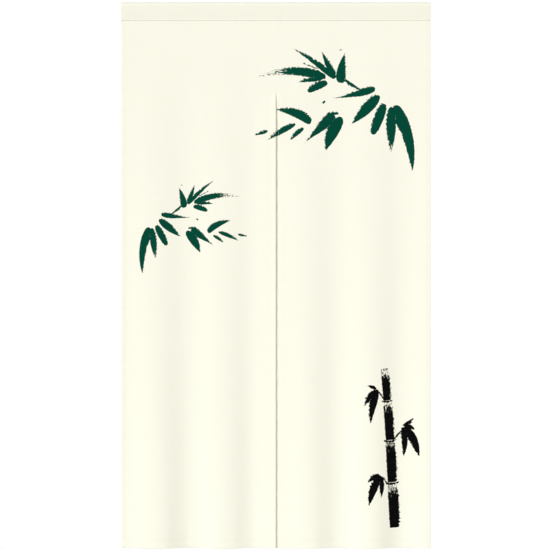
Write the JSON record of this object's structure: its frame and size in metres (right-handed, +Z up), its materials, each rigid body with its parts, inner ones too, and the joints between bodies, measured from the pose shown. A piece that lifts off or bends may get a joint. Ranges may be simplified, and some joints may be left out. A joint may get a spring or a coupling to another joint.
{
  "type": "noren curtain",
  "caption": "Split door curtain of cream cloth, hung in soft folds, with a slit up its middle, turned hems and a rod pocket along its top.",
  "frame": {"origin": "the middle of the top edge, at the crown of the rod pocket", "axes": "+Z up along the drop, +X to the right seen from the front, +Y from the front towards the back, so the printed face looks along -Y"},
  "size_m": [0.8501, 0.021, 1.5],
  "materials": {
    "cream_cloth": "cream plain-weave cotton and linen, matte, printed on the front with green bamboo leaves and a black ink bamboo cane",
    "stitch_thread": "dark grey sewing thread, matte",
    "hem_thread": "cream sewing thread, matte"
  },
  "bodies": {
    "root": {"noren_cloth": "cream_cloth", "rod_pocket": "cream_cloth"}
  },
  "joints": []
}
